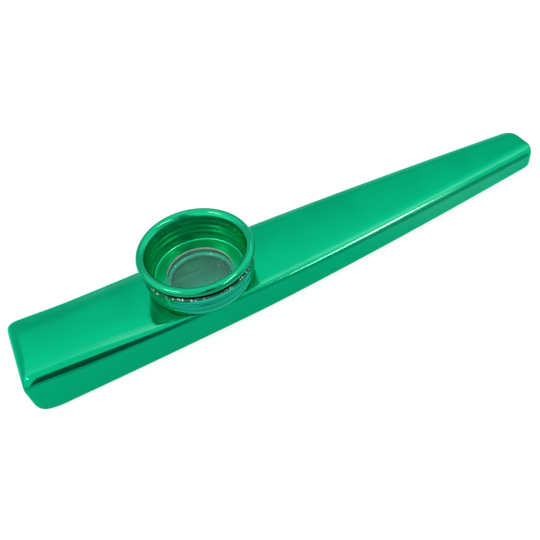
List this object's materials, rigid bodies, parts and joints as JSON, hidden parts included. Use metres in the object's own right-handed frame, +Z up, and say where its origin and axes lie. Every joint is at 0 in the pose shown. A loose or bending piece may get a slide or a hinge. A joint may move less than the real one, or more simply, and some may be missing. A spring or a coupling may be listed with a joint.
{
  "type": "kazoo",
  "caption": "Sheet-metal kazoo: tapered flat-sided tube with turned-in ends and a turret collar whose screw cap clamps a film diaphragm.",
  "frame": {"origin": "middle of the tube's length and width, on the plane of its underside", "axes": "+X from the mouth end to the outlet end, +Z up, with the turret leaning 2.9 degrees from it towards +X, +Y to the left seen from the mouth end"},
  "size_m": [0.12, 0.0234, 0.0171],
  "materials": {
    "green_tube": "bright green anodised or lacquered, glossy",
    "green_collar": "bright green, glossy, bare cut edge at the top",
    "green_cap": "bright green, glossy, bare cut edge round the hole",
    "ring_plastic": "translucent white, satin",
    "film": "thin clear film"
  },
  "bodies": {
    "tube": {"body_tube": "green_tube", "turret_collar": "green_collar"},
    "diaphragm": {"diaphragm_ring": "ring_plastic", "diaphragm_film": "film"},
    "cap": {"screw_cap": "green_cap"}
  },
  "joints": [
    {"name": "cap_lift", "type": "slide", "parent": "tube", "child": "diaphragm", "axis": [0.0506, 0, 0.9987], "range_m": [0, 0.0045]},
    {"name": "cap_turn", "type": "hinge", "parent": "diaphragm", "child": "cap", "pos_m": [-0.0212, 0, 0.0079], "axis": [0.0506, 0, 0.9987], "range_deg": [0, 1080]}
  ],
  "couplings": [
    {"joint": "cap_lift", "follows": "cap_turn", "m_per_rad": 0.0002387}
  ]
}
